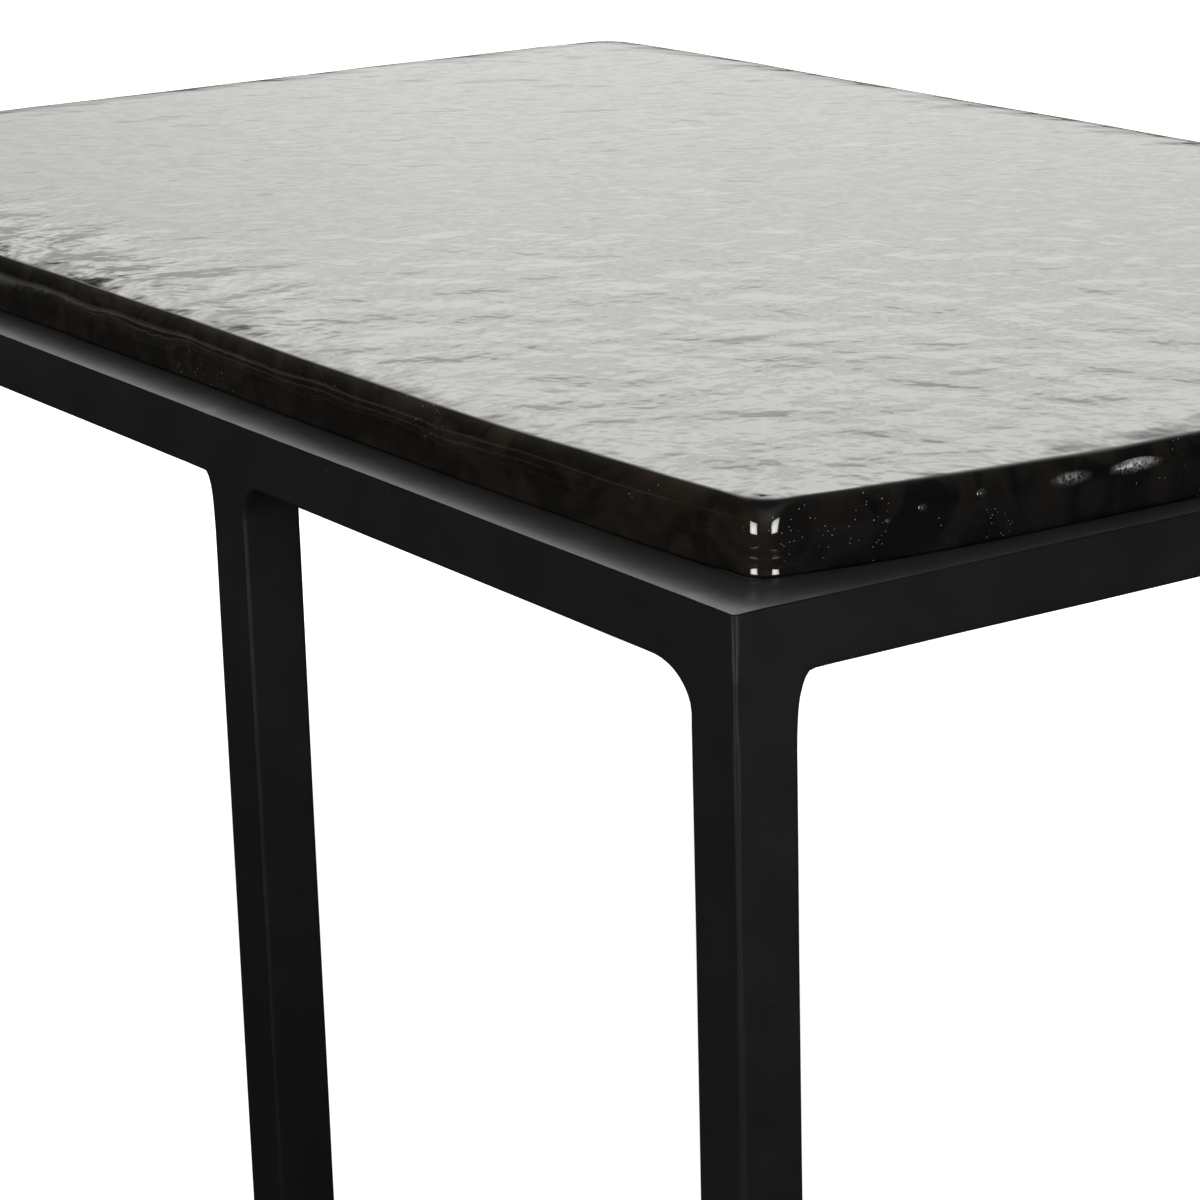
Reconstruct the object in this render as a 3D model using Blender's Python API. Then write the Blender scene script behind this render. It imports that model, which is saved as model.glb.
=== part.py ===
"""A nest of two low tables: welded square-tube frames, each carrying a thick slab of dark cast glass.

The large table stands on six legs, and its far bay is left open on both long sides, so the
small table slides in there under the rails. The small table is modelled pulled out to the front.
Units are metres, +Z is up, and the origin is on the floor under the middle of the whole set.
"near" is the +X end of a table, "far" the -X end, "front" the -Y side and "back" the +Y side.
"""
import math

import bmesh
import bpy

# Tube stock and what is welded from it
TUBE = 0.025  # outer side of the square tube
TUBE_WALL = 0.002
TUBE_ARRIS = 0.003  # outer corner radius of the tube
BORE_ARRIS = 0.001  # inner corner radius of the tube
ARRIS_STEPS = 3
SHARP_ANGLE = math.radians(40)  # steeper edges are shaded sharp
GAP = 0.0003  # clearance between pieces that touch

# Large table
LARGE_LENGTH = 0.970
LARGE_DEPTH = 0.620
LARGE_FRAME_HEIGHT = 0.350  # floor to the top of the rails
NEAR_BAY = 0.317  # near end of the frame to the near face of the middle legs
FAR_CROSS_RAIL = 0.290  # far end of the frame to the middle of the far cross rail

# Small table, whose length and height follow from the bay it slides into
SMALL_DEPTH = 0.550
SIDE_CLEARANCE = 0.010  # each side, between the small frame and the legs of the bay
HEADROOM = 0.008  # between the small slab and the large rails
PULLED_OUT = 0.140  # open floor between the two frames, with the small table drawn forward

# Glass slabs
SLAB_THICKNESS = 0.024
SLAB_INSET = 0.015  # ledge of frame left showing round the slab
SLAB_CORNER = 0.010  # plan radius of the slab's corners
SLAB_ARRIS = 0.003  # rounding of its top and bottom edges
SLAB_CORNER_STEPS = 6
SLAB_ARRIS_STEPS = 4

# Clear pads under the glass and the plates and rails that carry them
PAD_RADIUS = 0.006
PAD_THICKNESS = 0.001
PAD_EASE = 0.00025  # bevel of a pad's upper edge
PAD_STEPS = 28  # sides of a pad's outline
TAB_SIDE = 0.045  # legs of the corner plate along the two rails
TAB_CUT = 0.020  # what is cut off its inner corner
TAB_THICKNESS = 0.004
PAD_FROM_CORNER = 0.013  # pad centre from the two inner faces of the rails
CROSS_PAD_SPREAD = 0.150  # pad centre from the middle of a cross rail

# Foot glides
GLIDE_CAP = 0.003
GLIDE_PLUG = 0.012
GLIDE_EASE = 0.001  # rounding where the cap meets the floor
GLIDE_FIT = 0.0003  # clearance of the plug in the tube

# Ground weld blends at the heads of the legs: (reach along the rail, drop down the leg)
BLEND_LONG = (0.024, 0.016)  # corner leg, along the long rail
BLEND_SHORT = (0.006, 0.022)  # corner leg, along the end rail
BLEND_MID_NEAR = (0.014, 0.014)  # middle leg, towards the near end
BLEND_MID_FAR = (0.006, 0.020)  # middle leg, towards the far end
BLEND_CROSS = (0.010, 0.010)  # middle leg, along its cross rail
BLEND_TIP = math.radians(20)  # where the thin tip of a blend is cut off
BLEND_STEPS = 6
BLEND_ROOT = 0.001  # depth that a blend runs into the wall of the leg
BLEND_SIDE = 0.001  # a blend is this much shy of the leg's faces

PAD_LIFT = PAD_THICKNESS + 2 * GAP
LEG_FOOT = GLIDE_CAP + GAP
FAR_BAY = LARGE_LENGTH - NEAR_BAY - 2 * TUBE
SMALL_LENGTH = FAR_BAY - 2 * SIDE_CLEARANCE
SMALL_TOTAL_HEIGHT = LARGE_FRAME_HEIGHT - TUBE - HEADROOM
SMALL_FRAME_HEIGHT = SMALL_TOTAL_HEIGHT - SLAB_THICKNESS - PAD_LIFT
SET_DEPTH = LARGE_DEPTH + PULLED_OUT + SMALL_DEPTH
LARGE_MIDDLE_Y = (SET_DEPTH - LARGE_DEPTH) / 2
SMALL_MIDDLE_Y = -(SET_DEPTH - SMALL_DEPTH) / 2
BAY_MIDDLE_X = LARGE_LENGTH / 2 - NEAR_BAY - TUBE - FAR_BAY / 2


def clear_scene():
    for old in list(bpy.data.objects):
        bpy.data.objects.remove(old, do_unlink=True)


def make_material(name, colour, roughness, metallic, coat=0.0, transmission=0.0):
    material = bpy.data.materials.new(name)
    material.use_nodes = True
    shader = material.node_tree.nodes["Principled BSDF"]
    shader.inputs["Base Color"].default_value = (*colour, 1.0)
    shader.inputs["Roughness"].default_value = roughness
    shader.inputs["Metallic"].default_value = metallic
    shader.inputs["Coat Weight"].default_value = coat
    shader.inputs["Transmission Weight"].default_value = transmission
    material.diffuse_color = (*colour, 1.0)
    return material


def rounded_rectangle(size_x, size_y, radius, steps):
    """Points of a rounded rectangle round the origin, counter-clockwise."""
    points = []
    for quarter in range(4):
        sign_x = (1, -1, -1, 1)[quarter]
        sign_y = (1, 1, -1, -1)[quarter]
        centre_x = sign_x * (size_x / 2 - radius)
        centre_y = sign_y * (size_y / 2 - radius)
        for step in range(steps + 1):
            angle = (quarter + step / steps) * math.pi / 2
            points.append((centre_x + radius * math.cos(angle), centre_y + radius * math.sin(angle)))
    return points


def circle(radius, steps):
    """Points of a circle round the origin, counter-clockwise."""
    angles = [2 * math.pi * step / steps for step in range(steps)]
    return [(radius * math.cos(angle), radius * math.sin(angle)) for angle in angles]


def mesh_object(name, bm, material, parent):
    bmesh.ops.recalc_face_normals(bm, faces=bm.faces)
    mesh = bpy.data.meshes.new(name)
    bm.to_mesh(mesh)
    bm.free()
    mesh.materials.append(material)
    mesh.shade_smooth()
    mesh.set_sharp_from_angle(angle=SHARP_ANGLE)
    made = bpy.data.objects.new(name, mesh)
    bpy.context.scene.collection.objects.link(made)
    made.parent = parent
    return made


def bridge(bm, first, second):
    """Quads between two closed loops of as many vertices."""
    count = len(first)
    for i in range(count):
        after = (i + 1) % count
        bm.faces.new((first[i], first[after], second[after], second[i]))


def stacked_solid(name, levels, material, parent, middle=(0.0, 0.0)):
    """A closed solid through horizontal outlines, given bottom to top as (height, points)."""
    bm = bmesh.new()
    loops = []
    for height, points in levels:
        loops.append([bm.verts.new((middle[0] + x, middle[1] + y, height)) for x, y in points])
    for lower, upper in zip(loops, loops[1:]):
        bridge(bm, lower, upper)
    bm.faces.new(loops[0])
    bm.faces.new(loops[-1])
    return mesh_object(name, bm, material, parent)


def tube_along(bm, place, start_at, end_at):
    """Square tube with both ends open. place(u, v, t) gives a point from the section (u, v)
    and the distance t along the tube; start_at and end_at give t for each section point."""
    bore = TUBE - 2 * TUBE_WALL
    rings = []
    for side, radius in ((TUBE, TUBE_ARRIS), (bore, BORE_ARRIS)):
        outline = rounded_rectangle(side, side, radius, ARRIS_STEPS)
        start = [bm.verts.new(place(u, v, start_at(u, v))) for u, v in outline]
        end = [bm.verts.new(place(u, v, end_at(u, v))) for u, v in outline]
        bridge(bm, start, end)
        rings.append((start, end))
    for outer, inner in zip(rings[0], rings[1]):
        bridge(bm, outer, inner)


def make_rail(name, length, middle, top, along_x, outward, material, parent):
    """Perimeter rail with 45 degree mitres. outward is the sign of the side its outer face is on."""
    half = length / 2
    shy = GAP / math.sqrt(2)

    def setback(u):
        """How far the mitre has cut the tube back, u across the rail and positive outwards."""
        return TUBE / 2 - u + shy

    def place(u, v, t):
        across = outward * u
        if along_x:
            return (middle[0] + t, middle[1] + across, top - TUBE / 2 + v)
        return (middle[0] + across, middle[1] + t, top - TUBE / 2 + v)

    bm = bmesh.new()
    tube_along(bm, place, lambda u, v: -half + setback(u), lambda u, v: half - setback(u))
    return mesh_object(name, bm, material, parent)


def make_cross_rail(name, depth, middle_x, top, material, parent):
    """Rail between the inner faces of the front and back rails, flush with their tops."""
    reach = depth / 2 - TUBE - GAP
    bm = bmesh.new()
    tube_along(
        bm,
        lambda u, v, t: (middle_x + u, t, top - TUBE / 2 + v),
        lambda u, v: -reach,
        lambda u, v: reach,
    )
    return mesh_object(name, bm, material, parent)


def add_blend(bm, middle, direction, top, size):
    """Prism of a concave weld blend on one face of a leg; direction is a unit step in X or Y."""
    reach, drop = size
    profile = [(-BLEND_ROOT, 0.0)]
    for step in range(BLEND_STEPS + 1):
        angle = BLEND_TIP + (math.pi / 2 - BLEND_TIP) * step / BLEND_STEPS
        if step == 0:
            profile.append((reach * (1 - math.sin(angle)), 0.0))
        profile.append((reach * (1 - math.sin(angle)), -drop * (1 - math.cos(angle))))
    profile.append((-BLEND_ROOT, -drop))
    half = TUBE / 2 - BLEND_SIDE
    sides = []
    for across in (-half, half):
        side = []
        for out, down in profile:
            along = TUBE / 2 + out
            x = middle[0] + direction[0] * along + direction[1] * across
            y = middle[1] + direction[1] * along + direction[0] * across
            side.append(bm.verts.new((x, y, top + down)))
        sides.append(side)
    bridge(bm, sides[0], sides[1])
    bm.faces.new(sides[0])
    bm.faces.new(sides[1])


def make_leg(name, middle, frame_height, blends, material, parent):
    """Upright tube under the rails, with the ground weld blends of its head joined on."""
    top = frame_height - TUBE - GAP
    bm = bmesh.new()
    tube_along(
        bm,
        lambda u, v, t: (middle[0] + u, middle[1] + v, t),
        lambda u, v: LEG_FOOT,
        lambda u, v: top,
    )
    leg = mesh_object(name, bm, material, parent)
    for direction, size in blends:
        bm = bmesh.new()
        add_blend(bm, middle, direction, top, size)
        blend = mesh_object(f"{name}_blend", bm, material, parent)
        blend.hide_render = True
        blend.display_type = "WIRE"
        union = leg.modifiers.new("weld_blend", "BOOLEAN")
        union.operation = "UNION"
        union.solver = "EXACT"
        union.object = blend
    return leg


def make_glide(name, middle, material, parent):
    """Foot insert: a cap as wide as the tube with a square plug up its bore."""
    plug = TUBE - 2 * TUBE_WALL - 2 * GLIDE_FIT
    eased = rounded_rectangle(
        TUBE - 2 * GLIDE_EASE, TUBE - 2 * GLIDE_EASE, TUBE_ARRIS - GLIDE_EASE, ARRIS_STEPS
    )
    full = rounded_rectangle(TUBE, TUBE, TUBE_ARRIS, ARRIS_STEPS)
    inner = rounded_rectangle(plug, plug, BORE_ARRIS, ARRIS_STEPS)
    levels = [
        (0.0, eased),
        (GLIDE_EASE, full),
        (GLIDE_CAP, full),
        (GLIDE_CAP, inner),
        (GLIDE_CAP + GLIDE_PLUG, inner),
    ]
    return stacked_solid(name, levels, material, parent, middle)


def make_slab(name, length, depth, frame_height, material, parent):
    """Glass slab with rounded plan corners and rolled top and bottom edges."""
    bottom = frame_height + PAD_LIFT

    def outline(inset):
        return rounded_rectangle(
            length - 2 * SLAB_INSET - 2 * inset,
            depth - 2 * SLAB_INSET - 2 * inset,
            SLAB_CORNER - inset,
            SLAB_CORNER_STEPS,
        )

    levels = []
    for step in range(SLAB_ARRIS_STEPS + 1):
        angle = math.pi / 2 * step / SLAB_ARRIS_STEPS
        inset = SLAB_ARRIS * (1 - math.sin(angle))
        levels.append((bottom + SLAB_ARRIS * (1 - math.cos(angle)), outline(inset)))
    for height, points in list(reversed(levels)):
        levels.append((2 * bottom + SLAB_THICKNESS - height, points))
    return stacked_solid(name, levels, material, parent)


def make_tab(name, corner, signs, top, material, parent):
    """Support plate inside a corner of the frame, its inner corner cut off at 45 degrees."""
    start = GAP
    outline = [
        (start, start),
        (TAB_SIDE, start),
        (TAB_SIDE, TAB_SIDE - TAB_CUT),
        (TAB_SIDE - TAB_CUT, TAB_SIDE),
        (start, TAB_SIDE),
    ]
    points = [(corner[0] - signs[0] * x, corner[1] - signs[1] * y) for x, y in outline]
    return stacked_solid(name, [(top - TAB_THICKNESS, points), (top, points)], material, parent)


def make_pad(name, middle, frame_height, material, parent):
    """Clear round pad on a support, with its edge eased."""
    bottom = frame_height + GAP
    top = bottom + PAD_THICKNESS
    levels = [
        (bottom, circle(PAD_RADIUS, PAD_STEPS)),
        (top - PAD_EASE, circle(PAD_RADIUS, PAD_STEPS)),
        (top, circle(PAD_RADIUS - PAD_EASE, PAD_STEPS)),
    ]
    return stacked_solid(name, levels, material, parent, middle)


def build_table(prefix, length, depth, frame_height, mid_leg_x, cross_rails, parent, finish):
    """One table round its own middle. mid_leg_x is the middle of an extra pair of legs, or None."""
    coat, glass, clear, plastic = finish
    make_slab(f"{prefix}_glass_top", length, depth, frame_height, glass, parent)

    rail_y = (depth - TUBE) / 2
    rail_x = (length - TUBE) / 2
    for side, sign in (("front", -1), ("back", 1)):
        place = (0.0, sign * rail_y)
        make_rail(f"{prefix}_{side}_rail", length, place, frame_height, True, sign, coat, parent)
    for end, sign in (("near", 1), ("far", -1)):
        place = (sign * rail_x, 0.0)
        make_rail(f"{prefix}_{end}_rail", depth, place, frame_height, False, sign, coat, parent)
    for label, middle_x in cross_rails.items():
        name = f"{prefix}_{label}_cross_rail"
        make_cross_rail(name, depth, middle_x, frame_height, coat, parent)
        for side, sign in (("front", -1), ("back", 1)):
            place = (middle_x, sign * CROSS_PAD_SPREAD)
            make_pad(f"{prefix}_{label}_{side}_pad", place, frame_height, clear, parent)

    for end, sign_x in (("near", 1), ("far", -1)):
        for side, sign_y in (("front", -1), ("back", 1)):
            where = f"{side}_{end}"
            place = (sign_x * rail_x, sign_y * rail_y)
            blends = [((-sign_x, 0), BLEND_LONG), ((0, -sign_y), BLEND_SHORT)]
            make_leg(f"{prefix}_leg_{where}", place, frame_height, blends, coat, parent)
            make_glide(f"{prefix}_glide_{where}", place, plastic, parent)
            inner = (sign_x * (length / 2 - TUBE), sign_y * (depth / 2 - TUBE))
            signs = (sign_x, sign_y)
            make_tab(f"{prefix}_tab_{where}", inner, signs, frame_height, coat, parent)
            pad_place = (inner[0] - sign_x * PAD_FROM_CORNER, inner[1] - sign_y * PAD_FROM_CORNER)
            make_pad(f"{prefix}_pad_{where}", pad_place, frame_height, clear, parent)

    if mid_leg_x is None:
        return
    for side, sign_y in (("front", -1), ("back", 1)):
        place = (mid_leg_x, sign_y * rail_y)
        blends = [((1, 0), BLEND_MID_NEAR), ((-1, 0), BLEND_MID_FAR), ((0, -sign_y), BLEND_CROSS)]
        make_leg(f"{prefix}_leg_{side}_mid", place, frame_height, blends, coat, parent)
        make_glide(f"{prefix}_glide_{side}_mid", place, plastic, parent)


def table_origin(name, x, y):
    """Empty on the floor under the middle of a table."""
    origin = bpy.data.objects.new(name, None)
    origin.location = (x, y, 0.0)
    bpy.context.scene.collection.objects.link(origin)
    return origin


def build():
    clear_scene()
    finish = (
        make_material("black_powder_coat", (0.012, 0.012, 0.013), 0.38, 0.0),
        make_material("dark_cast_glass", (0.016, 0.013, 0.010), 0.06, 0.0, coat=0.5),
        make_material("clear_silicone", (0.75, 0.77, 0.76), 0.30, 0.0, transmission=0.6),
        make_material("black_plastic", (0.020, 0.020, 0.021), 0.55, 0.0),
    )
    mid_leg_x = LARGE_LENGTH / 2 - NEAR_BAY - TUBE / 2
    large_cross_rails = {"mid": mid_leg_x, "bay": FAR_CROSS_RAIL - LARGE_LENGTH / 2}
    large = table_origin("large_table_origin", 0.0, LARGE_MIDDLE_Y)
    build_table(
        "large", LARGE_LENGTH, LARGE_DEPTH, LARGE_FRAME_HEIGHT, mid_leg_x, large_cross_rails, large, finish
    )
    # The small table runs along Y through this empty: 0 is pulled out, positive slides it in.
    small = table_origin("small_table_slide", BAY_MIDDLE_X, SMALL_MIDDLE_Y)
    build_table(
        "small", SMALL_LENGTH, SMALL_DEPTH, SMALL_FRAME_HEIGHT, None, {"mid": 0.0}, small, finish
    )


build()
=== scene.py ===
import math
import bpy
import numpy as np
from mathutils import Matrix, Vector


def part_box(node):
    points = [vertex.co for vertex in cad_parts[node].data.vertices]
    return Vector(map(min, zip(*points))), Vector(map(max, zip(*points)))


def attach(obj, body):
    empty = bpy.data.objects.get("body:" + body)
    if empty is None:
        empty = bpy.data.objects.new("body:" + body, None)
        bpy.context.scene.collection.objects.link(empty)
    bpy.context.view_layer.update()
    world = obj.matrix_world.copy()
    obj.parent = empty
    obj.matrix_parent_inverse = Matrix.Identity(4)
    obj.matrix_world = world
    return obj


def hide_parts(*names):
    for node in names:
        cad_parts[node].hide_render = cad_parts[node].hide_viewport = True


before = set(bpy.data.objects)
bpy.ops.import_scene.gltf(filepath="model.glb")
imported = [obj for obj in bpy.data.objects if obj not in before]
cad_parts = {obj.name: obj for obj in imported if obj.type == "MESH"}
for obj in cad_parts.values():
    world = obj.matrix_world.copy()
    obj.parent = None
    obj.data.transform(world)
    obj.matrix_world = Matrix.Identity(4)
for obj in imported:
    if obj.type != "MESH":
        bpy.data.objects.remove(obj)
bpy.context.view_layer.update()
scene = bpy.context.scene
print("frame loaded:", len(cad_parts), "nodes")

mm = 0.001


def newPiece(name, points, faces, material, body, replaced=()):
    # points is an n by 3 array, faces a list of arrays of quads or longer rings
    mesh = bpy.data.meshes.new(name)
    polygons = [ring for group in faces for ring in np.asarray(group).tolist()]
    mesh.from_pydata(np.asarray(points, float).tolist(), [], polygons)
    mesh.materials.append(material)
    mesh.validate()
    mesh.shade_smooth()
    piece = bpy.data.objects.new(name, mesh)
    scene.collection.objects.link(piece)
    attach(piece, body)
    if replaced:
        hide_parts(*replaced)
    return piece


def interval(value, low, high):
    # signed distance to a stretch of a line: negative inside, positive outside
    return np.maximum(low - value, value - high)


def roundedRectangle(u, w, uLow, uHigh, wLow, wHigh, radius):
    # signed distance to a rectangle with rounded corners
    du = interval(u, uLow + radius, uHigh - radius)
    dw = interval(w, wLow + radius, wHigh - radius)
    outside = np.hypot(np.maximum(du, 0), np.maximum(dw, 0))
    return outside + np.minimum(np.maximum(du, dw), 0) - radius


def swirl(points, wavelength, seed, count=5):
    # smooth wavy value near -1 to 1: the mean of a few sine waves in seeded directions
    rng = np.random.default_rng(seed)
    total = np.zeros(len(points))
    for _ in range(count):
        direction = rng.normal(size=3)
        direction /= np.linalg.norm(direction)
        length = wavelength * rng.uniform(0.75, 1.4)
        total += np.sin(2 * np.pi * (points @ direction) / length + rng.uniform(0, 6.28))
    return total / count * 1.6


def fill(tree, node, inputs):
    # gives a node its inputs: a socket is linked, anything else is set as the input's own value
    for key, value in dict(inputs).items():
        if isinstance(value, bpy.types.NodeSocket):
            tree.links.new(value, node.inputs[key])
        else:
            node.inputs[key].default_value = value


def addNode(tree, kind, inputs=(), **settings):
    # a new node with its settings and inputs
    node = tree.nodes.new(kind)
    for key, value in settings.items():
        setattr(node, key, value)
    fill(tree, node, inputs)
    return node


def startMaterial(name):
    # a new material with its node tree, its shader and its Object coordinates
    material = bpy.data.materials.new(name)
    material.use_nodes = True
    tree = material.node_tree
    where = addNode(tree, "ShaderNodeTexCoord").outputs["Object"]
    return material, tree, tree.nodes["Principled BSDF"], where


def noise(tree, where, scale, detail, more=()):
    # smooth random value from 0 to 1 at each point
    inputs = {"Vector": where, "Scale": scale, "Detail": detail, **dict(more)}
    return addNode(tree, "ShaderNodeTexNoise", inputs).outputs["Fac"]


def maths(tree, operation, *values):
    # one sum on numbers
    return addNode(tree, "ShaderNodeMath", dict(enumerate(values)), operation=operation).outputs[0]


def vectorMaths(tree, operation, *vectors):
    # one sum on vectors; a length or a dot product comes out as a number
    node = addNode(tree, "ShaderNodeVectorMath", dict(enumerate(vectors)), operation=operation)
    return node.outputs["Value" if operation in ("LENGTH", "DOT_PRODUCT") else "Vector"]


def rescale(tree, value, fromRange, toRange=(0.0, 1.0), kind="LINEAR"):
    # carries one range of values onto another, and holds it at the ends
    inputs = {"Value": value, "From Min": fromRange[0], "From Max": fromRange[1]}
    inputs.update({"To Min": toRange[0], "To Max": toRange[1]})
    return addNode(tree, "ShaderNodeMapRange", inputs, interpolation_type=kind).outputs["Result"]


def blend(tree, share, one, two, **settings):
    # mixes two colours: all of the first at a share of 0, all of the second at 1
    one, two = [value if isinstance(value, bpy.types.NodeSocket) else (*value, 1.0) for value in (one, two)]
    node = addNode(tree, "ShaderNodeMix", {0: share, 6: one, 7: two}, data_type="RGBA", **settings)
    return node.outputs[2]


def bump(tree, height, depth, strength, normal=None):
    # tilts the shading as a height pattern of that depth would
    inputs = {"Height": height, "Strength": strength, "Distance": depth}
    if normal is not None:
        inputs["Normal"] = normal
    return addNode(tree, "ShaderNodeBump", inputs).outputs["Normal"]


def ramp(tree, value, stops):
    # colour that runs through the stops as the value rises
    node = tree.nodes.new("ShaderNodeValToRGB")
    tree.links.new(value, node.inputs["Fac"])
    elements = node.color_ramp.elements
    while len(elements) < len(stops):
        elements.new(0.5)
    for element, (position, colour) in zip(elements, stops):
        element.position = position
        element.color = (*colour, 1.0)
    return node.outputs["Color"]


def grey(value):
    # a colour with the same value three times
    return (value, value, value)


powderCoat = {
    "dark": (0.0054, 0.0053, 0.0055),
    "light": (0.0068, 0.0066, 0.0068),
    "roughness": (0.31, 0.36),
    "patchScale": 38.0,
    "dust": (0.09, 0.09, 0.085),
    "dustScale": 170.0,
    "dustyPatchScale": 21.0,
    "dents": (55.0, 0.25 * mm, 0.35),  # scale, depth, strength
    "peel": (620.0, 0.05 * mm, 0.2),  # fine orange peel: scale, depth, strength
    "shine": 0.42,
}


def blackCoatMaterial(look):
    # two blacks in soft patches, a little dust here and there, broad dents and fine orange peel
    material, tree, shader, where = startMaterial("blackPowderCoat")
    patches = noise(tree, where, look["patchScale"], 4.0)
    base = ramp(tree, patches, [(0.35, look["dark"]), (0.7, look["light"])])
    specks = addNode(tree, "ShaderNodeTexVoronoi", {"Vector": where, "Scale": look["dustScale"]})
    dust = ramp(tree, specks.outputs["Distance"], [(0.035, grey(0.6)), (0.06, grey(0.0))])
    sparse = noise(tree, where, look["dustyPatchScale"], 0.0)
    dusty = maths(tree, "MULTIPLY", dust, ramp(tree, sparse, [(0.63, grey(0.0)), (0.70, grey(1.0))]))
    low, high = look["roughness"]
    dentScale, dentDepth, dentStrength = look["dents"]
    dented = bump(tree, noise(tree, where, dentScale, 1.0), dentDepth, dentStrength)
    peelScale, peelDepth, peelStrength = look["peel"]
    peel = bump(tree, noise(tree, where, peelScale, 2.0), peelDepth, peelStrength, dented)
    inputs = {
        "Base Color": blend(tree, dusty, base, look["dust"]),
        "Roughness": ramp(tree, patches, [(0.3, grey(low)), (0.75, grey(high))]),
        "Normal": peel,
        "Specular IOR Level": look["shine"],
    }
    fill(tree, shader, inputs)
    return material


castGlass = {
    "body": (0.0024, 0.0024, 0.0023),
    "vein": (0.0060, 0.0052, 0.0045),
    "smoke": (0.0045, 0.0044, 0.0043),
    "frontWallLight": (1.6, 1.33, 1.08),  # painted light: the front wall is made lighter and browner than the other walls, times the colours above
    "bend": (13.0, (0.02, 0.02, 0.012)),  # slow bend of the patterns: scale, reach in metres
    "veins": (46.0, 5.0, 1.4),  # scale, detail, distortion
    "bubble": (0.13, 0.13, 0.125),
    "specks": ((340.0, 0.11), (700.0, 0.16)),  # voronoi scale and speck radius, coarse and fine
    "speckPatchScale": 24.0,
    "crowd": ((0.030, 0.013), (0.030, 0.026, 0.012)),  # most specks: along and below the corner, size
    "ripple": (31.0, 3.0, 0.46, 6.2 * mm),  # scale, detail, roughness, depth
    "onSides": 0.05,  # how much of the ripple is left on the walls
    "calm": 0.27,  # how much of the ripple is left far from the near front corner
    "lively": (0.62, 0.50, 0.5),  # reach of the full ripple round that corner
    "edgeRipple": 1.9,  # extra ripple along the far half of the front edge
    "restless": (0.52, (0.34, 0.10, 0.5)),  # where that is, from the corner, and its reach
    "skin": (330.0, 0.06 * mm, 0.4),  # fine ripple all over: scale, depth, strength
    # blisters in the near wall, in mm: along it from the front corner, below the top, half length,
    # half height, how far they stand out, and how much whitish film, painted as their glint, goes on their
    # colour
    "blisters": (
        (58, 13, 1.2, 1.2, 0.9, 0.1),
        (71, 10.5, 1.9, 1.9, 0.9, 0.1),
        (94, 9, 2.2, 2.0, 0.9, 0.1),
        (131, 10.2, 10.0, 2.8, 1.9, 0.35),
        (159, 10.2, 13.0, 2.7, 3.4, 1.0),
    ),
    "glintWhite": (0.42, 0.39, 0.37),
    "glintGrainScale": 800.0,
    "roughness": (0.035, 0.10),
    "hazeScale": 31.0,
    "ior": 1.53,
}


def ellipsoid(tree, where, middle, size):
    # 1 at the middle of an ellipsoid, falling smoothly to 0 at its surface
    away = vectorMaths(tree, "SUBTRACT", where, middle)
    radius = vectorMaths(tree, "LENGTH", vectorMaths(tree, "DIVIDE", away, size))
    return rescale(tree, radius, (0.0, 1.0), (1.0, 0.0), "SMOOTHSTEP")


def speckPattern(tree, where, corner, look):
    # small bubbles: round dots in a few of the cells of two voronoi patterns, most of them near the corner
    (along, below), size = look["crowd"]
    heart = ellipsoid(tree, where, (corner[0], corner[1] + along, corner[2] - below), size)
    clusters = noise(tree, where, look["speckPatchScale"], 2.0)
    crowd = maths(tree, "MAXIMUM", ramp(tree, clusters, [(0.56, grey(0.0)), (0.74, grey(0.8))]), heart)
    layers = []
    for scale, radius in look["specks"]:
        cells = addNode(tree, "ShaderNodeTexVoronoi", {"Vector": where, "Scale": scale})
        chance = addNode(tree, "ShaderNodeSeparateColor", {"Color": cells.outputs["Color"]}).outputs[0]
        spot = ramp(tree, cells.outputs["Distance"], [(radius * 0.6, grey(1.0)), (radius, grey(0.0))])
        layers.append(maths(tree, "MULTIPLY", spot, maths(tree, "LESS_THAN", chance, crowd)))
    return maths(tree, "MAXIMUM", *layers)


def rippleStrength(tree, where, facing, corner, look):
    # full on the level top near the corner, weaker far from it, stirred up along the front edge
    lively = ellipsoid(tree, where, corner, look["lively"])
    away, reach = look["restless"]
    restless = ellipsoid(tree, where, (corner[0] - away, corner[1], corner[2]), reach)
    calmer = rescale(tree, lively, (0.0, 1.0), (look["calm"], 1.0))
    stirred = maths(tree, "MULTIPLY_ADD", restless, look["edgeRipple"], calmer)
    onTop = rescale(tree, facing.outputs["Z"], (0.90, 0.985), (look["onSides"], 1.0))
    return maths(tree, "MULTIPLY", onTop, stirred)


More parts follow.
